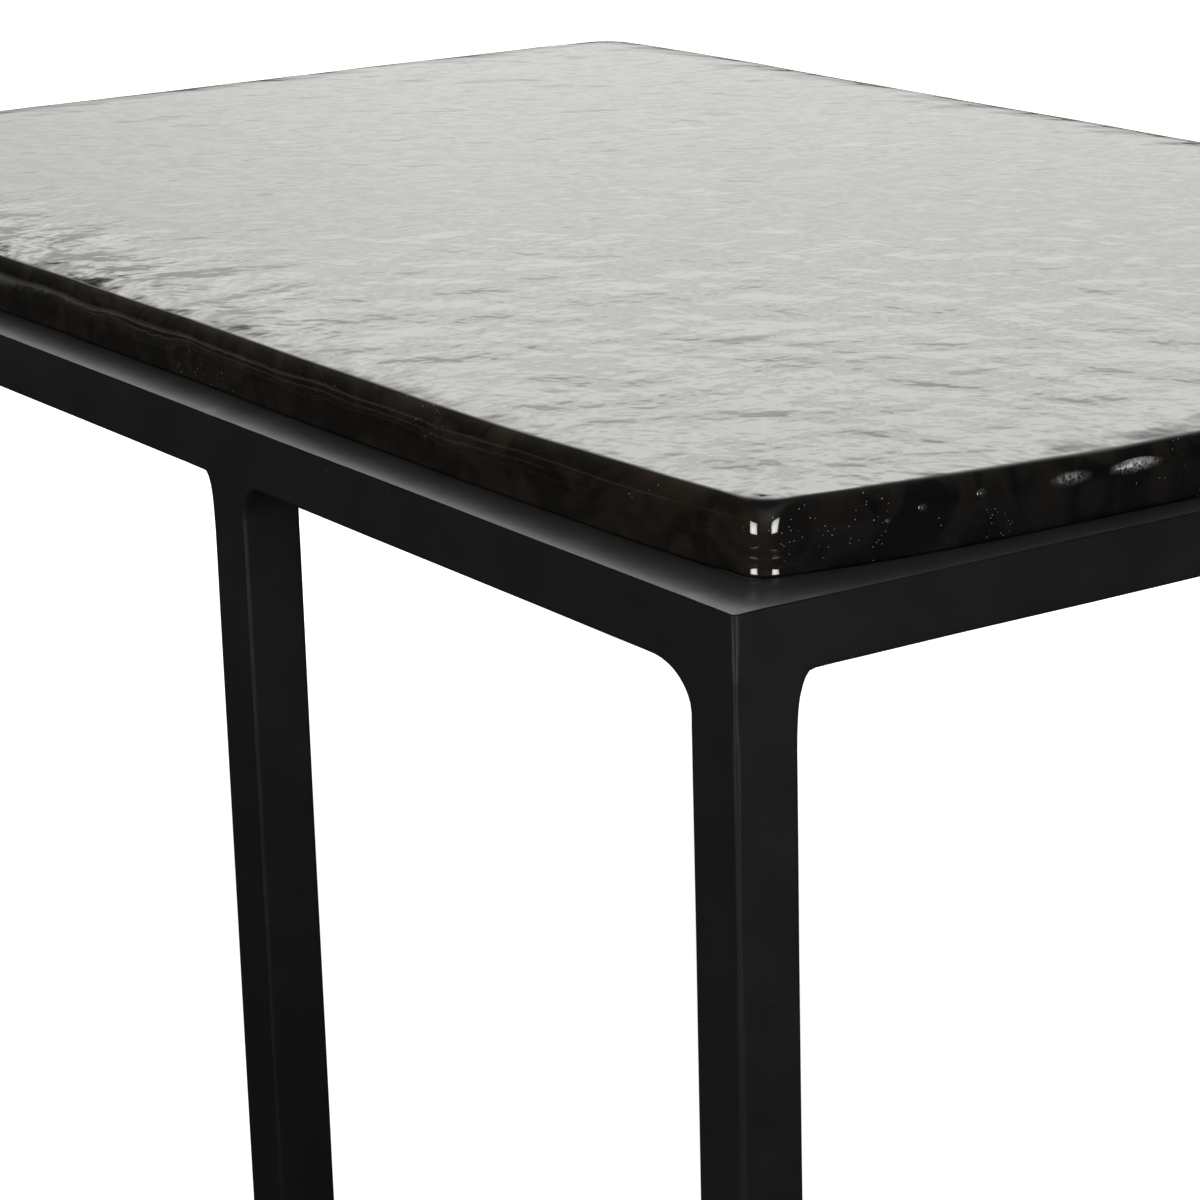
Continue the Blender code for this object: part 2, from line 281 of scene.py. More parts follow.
def castGlassMaterial(look):
    # near-black glass with smoky veins, painted light that makes the front wall lighter and browner,
    # specks, blisters whose whitish film is painted as their glint, and a rippled top
    material, tree, shader, where = startMaterial("darkCastGlass")
    low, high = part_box("large_glass_top")
    corner = (high[0], low[1], high[2])
    outwards = addNode(tree, "ShaderNodeNewGeometry").outputs["Normal"]
    facing = addNode(tree, "ShaderNodeSeparateXYZ", {"Vector": outwards})

    bendScale, bendReach = look["bend"]
    bend = addNode(tree, "ShaderNodeTexNoise", {"Vector": where, "Scale": bendScale, "Detail": 2.0})
    pushed = vectorMaths(tree, "MULTIPLY", bend.outputs["Color"], bendReach)
    bent = vectorMaths(tree, "ADD", where, pushed)
    veinScale, veinDetail, veinDistortion = look["veins"]
    veins = noise(tree, bent, veinScale, veinDetail, {"Distortion": veinDistortion})
    veined = ramp(tree, veins, [(0.42, look["body"]), (0.62, look["vein"]), (0.76, look["smoke"])])
    # painted light: the walls that face front are tinted lighter and browner by the way they face
    onFront = rescale(tree, facing.outputs["Y"], (-0.3, -0.8))
    colour = blend(tree, onFront, veined, look["frontWallLight"], blend_type="MULTIPLY")
    colour = blend(tree, speckPattern(tree, where, corner, look), colour, look["bubble"])

    rippleScale, rippleDetail, rippleRoughness, rippleDepth = look["ripple"]
    ripple = noise(tree, bent, rippleScale, rippleDetail, {"Roughness": rippleRoughness})
    strength = rippleStrength(tree, where, facing, corner, look)
    normal = bump(tree, ripple, rippleDepth, strength)
    skinScale, skinDepth, skinStrength = look["skin"]
    normal = bump(tree, noise(tree, where, skinScale, 2.0), skinDepth, skinStrength, normal)
    grain = noise(tree, where, look["glintGrainScale"], 3.0)
    grainy = ramp(tree, grain, [(0.34, grey(0.0)), (0.66, grey(1.0))])
    for along, below, halfLength, halfHeight, proud, glintShare in look["blisters"]:
        middle = (corner[0] + 2 * mm, corner[1] + along * mm, corner[2] - below * mm)
        dome = ellipsoid(tree, where, middle, (20 * mm, halfLength * mm, halfHeight * mm))
        normal = bump(tree, dome, proud * mm, 1.0, normal)
        # painted highlight: a grainy whitish film on each blister stands in for the glint of the lights on
        # it
        paintedGlint = maths(tree, "MULTIPLY", maths(tree, "MULTIPLY", dome, grainy), glintShare)
        colour = blend(tree, paintedGlint, colour, look["glintWhite"])

    haze = noise(tree, where, look["hazeScale"], 3.0)
    low, high = look["roughness"]
    rough = ramp(tree, haze, [(0.35, grey(low)), (0.75, grey(high))])
    fill(tree, shader, {"Base Color": colour, "Roughness": rough, "Normal": normal, "IOR": look["ior"]})
    return material


clearPad = {
    "name": "clearSilicone",
    "colours": ((0.62, 0.64, 0.63), (0.74, 0.76, 0.75)),
    "grainScale": 240.0,
    "roughness": 0.28,
    "grainDepth": 0.05 * mm,
    "transmission": 0.7,
}
footInsert = {
    "name": "blackPlastic",
    "colours": ((0.014, 0.014, 0.015), (0.026, 0.026, 0.027)),
    "grainScale": 900.0,
    "roughness": 0.52,
    "grainDepth": 0.06 * mm,
    "transmission": 0.0,
}


def mouldedMaterial(look):
    # two close colours, roughness and height that all follow one fine grain
    material, tree, shader, where = startMaterial(look["name"])
    grain = noise(tree, where, look["grainScale"], 3.0)
    low, high = look["colours"]
    rough = look["roughness"]
    inputs = {
        "Base Color": ramp(tree, grain, [(0.3, low), (0.7, high)]),
        "Roughness": ramp(tree, grain, [(0.3, grey(rough - 0.06)), (0.7, grey(rough + 0.06))]),
        "Normal": bump(tree, grain, look["grainDepth"], 0.4),
        "Transmission Weight": look["transmission"],
    }
    fill(tree, shader, inputs)
    return material


blackCoat = blackCoatMaterial(powderCoat)
darkGlass = castGlassMaterial(castGlass)
clearSilicone = mouldedMaterial(clearPad)
blackPlastic = mouldedMaterial(footInsert)
print("materials made")


tube = {
    "side": 25 * mm,
    "arris": 1.5 * mm,
    "cornerPost": (2.1 * mm, 1.0 * mm),  # plan rounding of the outermost corners, and how much it varies
    "crown": (13 * mm, 1.1 * mm),  # the rail tops fall away towards the outside: over, by
    "bore": 21 * mm,
    "boreDepth": 19 * mm,
    "waviness": 0.10 * mm,  # how far the faces wander
    "dressing": 0.16 * mm,  # extra wander where welds were ground flush
    "shrink": 0.30 * mm,  # keeps the wandering faces inside the true size
    "acrossLines": np.array([0, 0.6, 1.2, 1.9, 3, 6, 12.5, 19, 22, 23.1, 23.8, 24.4, 25]) * mm,
    "besideLines": np.array([1.2, 2.6, 4.5, 7, 10, 14, 19, 25, 34]) * mm,
    "longestCell": 30 * mm,
    "foldReach": 14 * mm,  # how far inside the tubes the grid is bent beside a weld
    "dressedReach": 26 * mm,  # how far from a joint the faces were ground
}
blendSizes = {  # ground welds: reach along the rail, drop down the leg
    "cornerLong": (21 * mm, 14.5 * mm),
    "cornerEnd": (6 * mm, 24 * mm),
    "midNear": (12 * mm, 13 * mm),
    "midFar": (5.5 * mm, 21 * mm),
    "midCross": (9.5 * mm, 9.5 * mm),
}


def gridLines(starts, low, high):
    # cell lines along one axis: fine across each tube and beside it, no cell longer than longestCell
    found = [np.array([low, high])]
    for start in starts:
        found.append(start + tube["acrossLines"])
        found.append(start - tube["besideLines"])
        found.append(start + tube["side"] + tube["besideLines"])
    lines = np.unique(np.round(np.concatenate(found), 6))
    lines = lines[(lines >= low - 1e-9) & (lines <= high + 1e-9)]
    filled = [lines[:1]]
    for a, b in zip(lines, lines[1:]):
        parts = max(1, int(np.ceil((b - a) / tube["longestCell"])))
        filled.append(np.linspace(a, b, parts + 1)[1:])
    lines = np.concatenate(filled)
    keep = np.concatenate([[True], np.diff(lines) > 0.25 * mm])
    return lines[keep]


def cellSkin(xs, ys, zs, solid):
    # the faces between solid and empty cells of a box grid, as points and outward quads
    padded = np.pad(solid, 1)
    shape = (len(xs), len(ys), len(zs))
    quads = []
    for axis in range(3):
        step = np.roll(padded, 1, axis)
        changed = padded.astype(int) - step.astype(int)
        cells = np.argwhere(changed != 0)
        sign = changed[tuple(cells.T)]
        cells = cells - 1
        one, two = [(1, 2), (2, 0), (0, 1)][axis]
        corners = []
        for a, b in ((0, 0), (1, 0), (1, 1), (0, 1)):
            corner = cells.copy()
            corner[:, one] += a
            corner[:, two] += b
            corners.append(np.ravel_multi_index(corner.T, shape))
        quad = np.stack(corners, axis=1)
        quad[sign > 0] = quad[sign > 0][:, ::-1]
        quads.append(quad)
    quads = np.concatenate(quads)
    used, index = np.unique(quads, return_inverse=True)
    ijk = np.array(np.unravel_index(used, shape)).T
    points = np.stack([xs[ijk[:, 0]], ys[ijk[:, 1]], zs[ijk[:, 2]]], axis=1)
    return points, index.reshape(quads.shape)


def settle(points, field, rounds=9):
    # moves each point along the slope of the field until the field there is zero
    points = points.copy()
    small = 0.05 * mm
    for _ in range(rounds):
        value = field(points)
        slope = np.empty_like(points)
        for axis in range(3):
            shifted = points.copy()
            shifted[:, axis] += small
            back = points.copy()
            back[:, axis] -= small
            slope[:, axis] = (field(shifted) - field(back)) / (2 * small)
        size = np.maximum((slope ** 2).sum(axis=1), 0.15)
        move = slope * (value / size)[:, None]
        length = np.linalg.norm(move, axis=1)
        move *= np.minimum(1, 3 * mm / np.maximum(length, 1e-9))[:, None]
        points -= move
    return points


def weldBlend(u, w, side, sign, under, reach, drop):
    # signed distance to the ground weld in the corner between a leg's side and the rail above:
    # the corner less an ellipse that touches both faces
    a = sign * (u - side)
    b = under - w
    pa = (reach - a) / reach
    pb = (drop - b) / drop
    q = np.sqrt(pa ** 2 + pb ** 2) + 1e-9
    steep = np.sqrt((pa / reach) ** 2 + (pb / drop) ** 2) / q + 1e-9
    near = (a < reach) & (b < drop) & (a > -9 * mm) & (b > -9 * mm)
    return np.where(near, (1 - q) / steep, 1.0)


def flatFrame(u, w, v, vLow, spanLow, spanHigh, top, legs, blends):
    # a rail with legs in one plane, u along it, w up and v through its thickness, all edges rounded
    side, arris = tube["side"], tube["arris"]
    shape = roundedRectangle(u, w, spanLow, spanHigh, top - side, top, arris)
    for start in legs:
        shape = np.minimum(shape, roundedRectangle(u, w, start, start + side, -0.05, top, arris))
    for edge, sign, reach, drop in blends:
        shape = np.minimum(shape, weldBlend(u, w, edge, sign, top - side, reach, drop))
    across = interval(v, vLow + arris, vLow + side - arris)
    deep = shape + arris
    outside = np.hypot(np.maximum(deep, 0), np.maximum(across, 0))
    return outside + np.minimum(np.maximum(deep, across), 0) - arris


def openWelds(points, plan):
    # bends the square corners between rails and legs along the weld's ellipse, before settling:
    # rail and leg rows each take half of it, and the bend fades out inside the tube
    side, foldReach = tube["side"], tube["foldReach"]
    under = plan["top"] - side

    def fade(distance):
        # 1 at the corner, falling smoothly to 0 at foldReach inside the tube
        share = np.clip(distance / foldReach, 0, 1)
        return 1 - share ** 2 * (3 - 2 * share)

    moved = points.copy()
    for along, across, start, edge, sign, reach, drop in weldList(plan):
        u, v, w = points[:, along], points[:, across], points[:, 2]
        a, b = sign * (u - edge), under - w
        inside = (v > start - 0.1 * mm) & (v < start + side + 0.1 * mm)
        inside &= (a < reach) & (b < drop) & (a > -foldReach) & (b > -foldReach)
        inside &= np.minimum(a, b) < 0.01 * mm
        t, s = np.clip(a / reach, 0, 1), np.clip(b / drop, 0, 1)
        phi = np.pi / 4 * (1 - t + s)
        share = fade(np.maximum(-a, 0)) * fade(np.maximum(-b, 0)) * inside
        moved[:, along] += sign * share * (reach * (1 - np.sin(phi)) - np.maximum(a, 0))
        moved[:, 2] -= share * (drop * (1 - np.cos(phi)) - np.maximum(b, 0))
    return moved


def weldList(plan):
    # every ground weld as (axis along, axis across, start across, leg face, direction, reach, drop)
    side, size = tube["side"], blendSizes
    welds = []
    for start in (plan["yLow"], plan["yHigh"] - side):
        welds.append((0, 1, start, plan["xLow"] + side, 1, *size["cornerLong"]))
        welds.append((0, 1, start, plan["xHigh"] - side, -1, *size["cornerLong"]))
        for leg in plan["midLegs"]:
            welds.append((0, 1, start, leg + side, 1, *size["midNear"]))
            welds.append((0, 1, start, leg, -1, *size["midFar"]))
    for starts, name in ((plan["legs"], "cornerEnd"), (plan["midLegs"], "midCross")):
        for start in starts:
            welds.append((1, 0, start, plan["yLow"] + side, 1, *size[name]))
            welds.append((1, 0, start, plan["yHigh"] - side, -1, *size[name]))
    return welds


def tablePlan(prefix):
    # everything about one frame, read from the CAD nodes
    side = tube["side"]
    xLow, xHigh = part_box(f"{prefix}_far_rail")[0][0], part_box(f"{prefix}_near_rail")[1][0]
    frontLow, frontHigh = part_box(f"{prefix}_front_rail")
    plan = {
        "xLow": xLow,
        "xHigh": xHigh,
        "yLow": frontLow[1],
        "yHigh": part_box(f"{prefix}_back_rail")[1][1],
        "top": frontHigh[2],
        "foot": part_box(f"{prefix}_leg_front_far")[0][2],
        "legs": [xLow, xHigh - side],
        "crossRails": [],
        "midLegs": [],
    }
    for name in sorted(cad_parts):
        if name.startswith(prefix) and name.endswith("cross_rail"):
            plan["crossRails"].append(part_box(name)[0][0])
        if name == f"{prefix}_leg_front_mid":
            plan["midLegs"].append(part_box(f"{prefix}_mid_cross_rail")[0][0])
    return plan


def frameField(plan):
    # signed distance to the whole welded frame, as the nearest of its flat frames
    side = tube["side"]
    top = plan["top"]
    xLow, xHigh, yLow, yHigh = plan["xLow"], plan["xHigh"], plan["yLow"], plan["yHigh"]
    welds = weldList(plan)
    longLegs = plan["legs"] + plan["midLegs"]
    crossLegs = [yLow, yHigh - side]
    jointsX = np.array(longLegs) + side / 2
    jointsY = np.array(crossLegs) + side / 2

    def blendsAt(along, start):
        # the welds of the flat frame that runs along this axis and starts there across it
        return [weld[3:] for weld in welds if weld[0] == along and abs(weld[2] - start) < mm]

    def field(p):
        x, y, z = p[:, 0], p[:, 1], p[:, 2]
        shape = np.full(len(p), 1.0)
        for yStart in crossLegs:
            blends = blendsAt(0, yStart)
            shape = np.minimum(shape, flatFrame(x, z, y, yStart, xLow, xHigh, top, longLegs, blends))
        for xStart in plan["legs"]:
            blends = blendsAt(1, xStart)
            shape = np.minimum(shape, flatFrame(y, z, x, xStart, yLow, yHigh, top, crossLegs, blends))
        for xStart in plan["crossRails"]:
            blends = blendsAt(1, xStart)
            legs = crossLegs if blends else []
            inner = (yLow + 4 * mm, yHigh - 4 * mm)
            shape = np.minimum(shape, flatFrame(y, z, x, xStart, *inner, top, legs, blends))
        postRadius, postWander = tube["cornerPost"]
        post = postRadius + postWander * swirl(p * [0.3, 0.3, 1], 30 * mm, 9)
        shape = np.maximum(shape, roundedRectangle(x, y, xLow, xHigh, yLow, yHigh, post))
        crownWidth, crownDrop = tube["crown"]
        toEdge = -np.maximum(interval(x, xLow, xHigh), interval(y, yLow, yHigh))
        fall = crownDrop * np.clip(1 - toEdge / crownWidth, 0, 1.2) ** 2
        shape = np.maximum(shape, z - (top - fall))
        wander = tube["waviness"] * swirl(p, 95 * mm, 3) + 0.3 * tube["waviness"] * swirl(p, 31 * mm, 4)
        awayX = np.abs(x[:, None] - jointsX).min(axis=1)
        awayY = np.abs(y[:, None] - jointsY).min(axis=1)
        awayZ = np.maximum(np.abs(z - (top - side / 2)) - side, 0)
        reach = tube["dressedReach"]
        near = np.exp(-(awayX / reach) ** 2 - (awayY / reach) ** 2 - (awayZ / reach) ** 2)
        wander = wander + tube["dressing"] * near * swirl(p, 17 * mm, 5)
        shape = shape + tube["shrink"] + wander
        shape = np.maximum(shape, plan["foot"] - z)
        half = tube["bore"] / 2
        boreTop = plan["foot"] + tube["boreDepth"]
        bore = np.maximum(np.maximum(awayX - half, awayY - half), z - boreTop)
        return np.maximum(shape, -bore)

    return field


def solidCells(plan, xs, ys, zs):
    # which cells of the grid lie in a tube, by their middles
    side, top = tube["side"], plan["top"]
    cx, cy, cz = [(line[1:] + line[:-1]) / 2 for line in (xs, ys, zs)]
    x, y, z = np.meshgrid(cx, cy, cz, indexing="ij")
    onRail = z > top - side
    yEdge = (y < plan["yLow"] + side) | (y > plan["yHigh"] - side)
    xEdge = (x < plan["xLow"] + side) | (x > plan["xHigh"] - side)
    cross, middle = np.zeros_like(x, bool), np.zeros_like(x, bool)
    for starts, over in ((plan["crossRails"], cross), (plan["midLegs"], middle)):
        for start in starts:
            over |= (x > start) & (x < start + side)
    solid = onRail & (yEdge | xEdge | cross)
    solid |= yEdge & (xEdge | middle)
    half = tube["bore"] / 2
    legX = np.array(plan["legs"] + plan["midLegs"]) + side / 2
    legY = np.array([plan["yLow"], plan["yHigh"] - side]) + side / 2
    inBore = (np.abs(x[..., None] - legX).min(axis=-1) < half) & (z < plan["foot"] + tube["boreDepth"])
    inBore &= np.abs(y[..., None] - legY).min(axis=-1) < half
    return solid & ~inBore


def lineUp(lines, wanted):
    # the wanted lines take the place of the cell lines within half a millimetre of them
    gap = np.abs(lines[:, None] - wanted).min(axis=1)
    return np.sort(np.concatenate([lines[gap > 0.5 * mm], wanted]))


def makeFrameSkin(prefix, body):
    # one welded frame: the skin of the solid cells, opened at the welds and settled on the field
    plan = tablePlan(prefix)
    side, half = tube["side"], tube["bore"] / 2
    boreSides = np.array([side / 2 - half, side / 2 + half])
    legsX, legsY = plan["legs"] + plan["midLegs"], [plan["yLow"], plan["yHigh"] - side]
    xStarts = sorted(set(np.round(legsX + plan["crossRails"], 6)))
    xs = gridLines(xStarts, plan["xLow"], plan["xHigh"])
    ys = gridLines(legsY, plan["yLow"], plan["yHigh"])
    zs = gridLines([plan["top"] - side], plan["foot"], plan["top"])
    xs = lineUp(xs, np.concatenate([start + boreSides for start in legsX]))
    ys = lineUp(ys, np.concatenate([start + boreSides for start in legsY]))
    zs = lineUp(zs, np.array([plan["foot"] + tube["boreDepth"]]))
    zs = np.sort(np.append(zs, plan["foot"] + 1.5 * mm))
    points, quads = cellSkin(xs, ys, zs, solidCells(plan, xs, ys, zs))
    points = settle(openWelds(points, plan), frameField(plan))
    own = [name for name in sorted(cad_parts) if name.startswith(prefix)]
    replaced = [name for name in own if "_rail" in name or "_leg_" in name]
    made = newPiece(f"{prefix}FrameWelded", points, [quads], blackCoat, body, replaced)
    print(made.name, len(points), "points")
    return plan


largePlan = makeFrameSkin("large", "large_table")
smallPlan = makeFrameSkin("small", "small_table")


largeSlab = {
    "spacing": 4 * mm,
    "corner": (9 * mm, 19 * mm),  # plan radius of the corners: wall, top face
    "roll": (5 * mm, 13 * mm),  # rolled top edge: how far in and how far down
    "crease": (18.0 * mm, 0.65 * mm),  # soft crease round the wall: depth below the top, how deep
    "creaseSpread": (1.6 * mm, 3.6 * mm),  # how far it spreads above and below
    "foot": 1.2 * mm,  # rounding of the bottom edge
    "ripple": 0.30 * mm,
    "rippleLength": 27 * mm,
    "edgeDrop": 0.6 * mm,  # how far the poured top sinks right at its edge
    # how far the top slumps towards each side and over what width
    "slump": {"near": (2.8, 22), "far": (2.2, 42), "front": (1.5, 16), "back": (2.2, 42)},
    # the near and front sides slump this little at their corner, and fully beyond this start and run
    "slumpLeast": 0.12,
    "slumpStart": 0.05,
    "slumpRun": 0.12,
    "seed": 11,
    # how far each side stands in from the CAD slab: all along, and more at its two corners
    "sides": {"near": (-4.8, 11.6, 4), "far": (1.0, 6, 5), "front": (4.2, 6.6, 4), "back": (1.0, 5, 6)},
    "rimSag": 1.85 * mm,  # how far the underside hangs at the rim, down to the rails
    "cornerRun": 54 * mm,  # how far along a side the extra inset of its corners reaches
    "sideReach": 140 * mm,  # how far into the slab the insets are felt
    "wander": 0.9 * mm,
    "creaseWave": (1.1 * mm, 150 * mm),  # the crease rises and falls by, over
    "lumps": (0.22 * mm, 34 * mm),  # shallow lumps of the wall: depth, length
}
smallSlab = dict(largeSlab)
smallSlab.update(
    seed=29, sides={"near": (0.5, 8, 5), "far": (1.5, 6, 8), "front": (1.0, 7, 6), "back": (0.5, 8, 5)}
)


def squareToSlab(u, v, halfX, halfY, radius):
    # u and v from -1 to 1 over the slab; each corner square of the grid is pressed into a quarter disc
    x, y = np.abs(u) * halfX, np.abs(v) * halfY
    p = np.clip((x - (halfX - radius)) / radius, 0, 1)
    q = np.clip((y - (halfY - radius)) / radius, 0, 1)
    x = np.where(p > 0, halfX - radius + radius * p * np.sqrt(1 - q ** 2 / 2), x)
    y = np.where(q > 0, halfY - radius + radius * q * np.sqrt(1 - p ** 2 / 2), y)
    return np.sign(u) * x, np.sign(v) * y


def slabLines(half, spacing):
    # grid lines over one direction, from -1 to 1, closer together near both edges
    edge = np.array([0, 0.8, 1.8, 3.2, 5.0, 7.2, 10, 13.5]) * mm
    inner = half - edge[-1]
    count = max(4, int(round(2 * inner / spacing)))
    middle = np.linspace(-inner, inner, count + 1)
    lines = np.concatenate([-half + edge[:-1], middle, (half - edge[:-1])[::-1]])
    return lines / half


def rippleHeight(x, y, look):
    # poured surface: seeded sine waves of many lengths, with the crests a little sharpened
    flat = np.stack([x.ravel(), y.ravel(), np.zeros(x.size)], axis=1)
    length = look["rippleLength"]
    bent = flat + 0.012 * np.stack([swirl(flat, 0.16, 7), swirl(flat, 0.16, 8), 0 * flat[:, 0]], axis=1)
    broad = swirl(bent, length, look["seed"], 9)
    fine = swirl(bent, length * 0.5, look["seed"] + 1, 9)
    slow = swirl(flat, length * 3.2, look["seed"] + 2, 5)
    height = 0.62 * broad + 0.26 * fine + 0.9 * slow
    height = np.tanh(height) + 0.25 * np.abs(broad)
    return (look["ripple"] * np.minimum(height - 1.3, 0)).reshape(x.shape)


def slumpDepth(u, v, halfX, halfY, look):
    # the top falls away towards each side as a parabola; where two sides meet, the deeper one holds
    fromNear, fromFar = (1 - u) * halfX, (1 + u) * halfX
    fromFront, fromBack = (1 + v) * halfY, (1 - v) * halfY
    farAlong = np.clip((fromNear + fromFront - look["slumpStart"]) / look["slumpRun"], 0, 1)
    least = look["slumpLeast"]
    later = least + (1 - least) * farAlong ** 2 * (3 - 2 * farAlong)
    depth = np.zeros_like(u)
    for side, distance in (("near", fromNear), ("far", fromFar), ("front", fromFront), ("back", fromBack)):
        fall, width = look["slump"][side]
        share = later if side in ("near", "front") else 1.0
        depth = np.maximum(depth, fall * mm * share * np.clip(1 - distance / (width * mm), 0, 1) ** 2)
    return depth


def sideInset(along, half, base, first, second, look, seed):
    # how far one side of the slab stands in: a base, more at the two corners, and a slow wander
    run = look["cornerRun"]
    atFirst = first * np.exp(-(((along + half) / run) ** 1.3))
    atSecond = second * np.exp(-((np.maximum(half - along, 0) / run) ** 1.3))
    slow = np.sin(2 * np.pi * along / 0.31 + seed) + 0.5 * np.sin(2 * np.pi * along / 0.13 + 2.1 * seed)
    return mm * (base + atFirst + atSecond) + look["wander"] * (0.6 + 0.4 * slow)


def warpPlan(x, y, halfX, halfY, look):
    # moves the slab's plan in from each side, fading out towards its middle
    sides, reach = look["sides"], look["sideReach"]

    def rampIn(value, half):
        # 1 at the side, falling to 0 as a parabola
        return np.clip((value - (half - reach)) / reach, 0, 1) ** 2

    yy, xx = np.clip(y, -halfY, halfY), np.clip(x, -halfX, halfX)
    nearIn = sideInset(yy, halfY, *sides["near"], look, 1.0) * rampIn(x, halfX)
    farIn = sideInset(yy, halfY, *sides["far"], look, 2.0) * rampIn(-x, halfX)
    frontIn = sideInset(-xx, halfX, *sides["front"], look, 3.0) * rampIn(-y, halfY)
    backIn = sideInset(-xx, halfX, *sides["back"], look, 4.0) * rampIn(y, halfY)
    return x - nearIn + farIn, y + frontIn - backIn


def gridQuads(ids):
    # the quads of a grid of point numbers
    return np.stack([ids[:-1, :-1], ids[1:, :-1], ids[1:, 1:], ids[:-1, 1:]], axis=-1).reshape(-1, 4)


def makeSlab(node, look, body):
    # one slab: top and bottom grids with the rows of the wall between them, all as one closed skin
    low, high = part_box(node)
    middleX, middleY = (low[0] + high[0]) / 2, (low[1] + high[1]) / 2
    halfX, halfY = (high[0] - low[0]) / 2, (high[1] - low[1]) / 2
    thick = high[2] - low[2]
    us, vs = slabLines(halfX, look["spacing"]), slabLines(halfY, look["spacing"])
    nu, nv = len(us), len(vs)
    u, v = np.meshgrid(us, vs, indexing="ij")

    # boundary of the grid, counter-clockwise from the corner at -1, -1
    i = np.arange(nu)
    j = np.arange(nv)
    ringI = np.concatenate([i[:-1], np.full(nv - 1, nu - 1), i[:0:-1], np.zeros(nv - 1, int)])
    ringJ = np.concatenate([np.zeros(nu - 1, int), j[:-1], np.full(nu - 1, nv - 1), j[:0:-1]])
    ringU, ringV = u[ringI, ringJ], v[ringI, ringJ]

    def place(gridU, gridV, inset, height):
        # a level of the slab: plan drawn in by inset, at a height above its underside
        wallRadius, topRadius = look["corner"]
        radius = wallRadius - min(inset, foot)
        if height > thick / 2:
            radius = wallRadius + (topRadius - wallRadius) * (inset / rollIn) ** 1.5
        x, y = squareToSlab(gridU, gridV, halfX - inset, halfY - inset, radius)
        x, y = warpPlan(x, y, halfX, halfY, look)
        return np.stack([x + middleX, y + middleY, low[2] + height + 0 * x], axis=-1)

    (rollIn, rollDown), foot = look["roll"], look["foot"]
    topPatch = place(u, v, rollIn, thick)
    edge = np.minimum((1 - np.abs(u)) * halfX, (1 - np.abs(v)) * halfY)
    drop = look["edgeDrop"] * np.exp(-(edge / (5 * mm)) ** 1.2)
    calmEdge = 1 - 0.6 * np.exp(-edge / (6 * mm))
    topPatch[..., 2] += rippleHeight(topPatch[..., 0], topPatch[..., 1], look) * calmEdge
    topPatch[..., 2] -= drop + slumpDepth(u, v, halfX, halfY, look)
    bottomPatch = place(u, v, foot, 0.0)
    bottomRipple = rippleHeight(bottomPatch[..., 0] + 1.0, bottomPatch[..., 1], look)
    bottomPatch[..., 2] -= 0.15 * bottomRipple * np.clip(edge / (12 * mm), 0, 1)
    bottomPatch[..., 2] -= look["rimSag"] * np.clip(1.6 - edge / (14 * mm), 0, 1)

    # side rows between the two patches: rolled top edge, wall with a soft crease, rounded foot
    rim = topPatch[ringI, ringJ]
    rows = []
    rollSteps, wallSteps, footSteps = 9, 11, 4
    wallTop, wallBottom = thick - rollDown, foot
    for k in range(1, rollSteps + 1):
        angle = np.pi / 2 * k / rollSteps
        rows.append((rollIn * (1 - np.sin(angle)), thick - rollDown * (1 - np.cos(angle))))
    for k in range(1, wallSteps):
        rows.append((0.0, wallTop + (wallBottom - wallTop) * k / wallSteps))
    for k in range(0, footSteps):
        angle = np.pi / 2 * k / footSteps
        rows.append((foot * (1 - np.cos(angle)), foot * (1 - np.sin(angle))))
    ringPoints = []
    rimLoss = rim[:, 2] - (low[2] + thick)
    for inset, height in rows:
        ring = place(ringU, ringV, inset, height)
        share = np.clip((height - foot) / (thick - foot), 0, 1)
        ring[:, 2] += rimLoss * share ** 2 - look["rimSag"] * (1 - share) ** 1.5
        ring = swellSide(ring, height, thick, ringU, ringV, look)
        ringPoints.append(ring)
    sideGrid = np.stack(ringPoints)

    topIds = np.arange(nu * nv).reshape(nu, nv)
    count = len(ringI)
    sideIds = nu * nv + np.arange(len(rows) * count).reshape(len(rows), count)
    bottomIds = sideIds.max() + 1 + np.arange(nu * nv).reshape(nu, nv)
    points = np.concatenate([topPatch.reshape(-1, 3), sideGrid.reshape(-1, 3), bottomPatch.reshape(-1, 3)])

    stack = np.concatenate([topIds[ringI, ringJ][None], sideIds, bottomIds[ringI, ringJ][None]])
    following = np.roll(stack, -1, axis=1)
    walls = np.stack([stack[1:], following[1:], following[:-1], stack[:-1]], axis=-1).reshape(-1, 4)
    faces = [gridQuads(topIds), walls, gridQuads(bottomIds)[:, ::-1]]
    name = node.replace("_glass_top", "GlassSlab")
    newPiece(name, points, faces, darkGlass, body, [node])
    print(name, len(points), "points")


def swellSide(ring, height, thick, ringU, ringV, look):
    # draws the wall in along a soft crease, deepest at the corners, and in shallow lumps
    depth = thick - height
    nearX, nearY = np.abs(ringU) >= np.abs(ringV) - 0.02, np.abs(ringV) >= np.abs(ringU) - 0.02
    inner = -np.stack([ringU * nearX, ringV * nearY], axis=1)
    inner /= np.maximum(np.linalg.norm(inner, axis=1), 1e-6)[:, None]
    creaseAt, creaseDepth = look["crease"]
    waveHeight, waveLength = look["creaseWave"]
    wavy = creaseAt + waveHeight * swirl(ring * [1, 1, 0], waveLength, look["seed"] + 4, 4)
    above, below = look["creaseSpread"]
    crease = creaseDepth * np.exp(-(((depth - wavy) / np.where(depth < wavy, above, below)) ** 2))
    cornered = np.exp(-((1 - np.minimum(np.abs(ringU), np.abs(ringV))) / 0.04))
    lumpDepth, lumpLength = look["lumps"]
    lumps = lumpDepth * (1 + swirl(ring * [1, 1, 1.6], lumpLength, look["seed"] + 5, 7))
    fade = min(1.0, depth / (3.0 * mm)) * min(1.0, height / (2.0 * mm))
    ring = ring.copy()
    ring[:, :2] += inner * ((crease * (0.12 + 0.88 * cornered) + lumps) * fade)[:, None]
    return ring


makeSlab("large_glass_top", largeSlab, "large_table")
makeSlab("small_glass_top", smallSlab, "small_table")


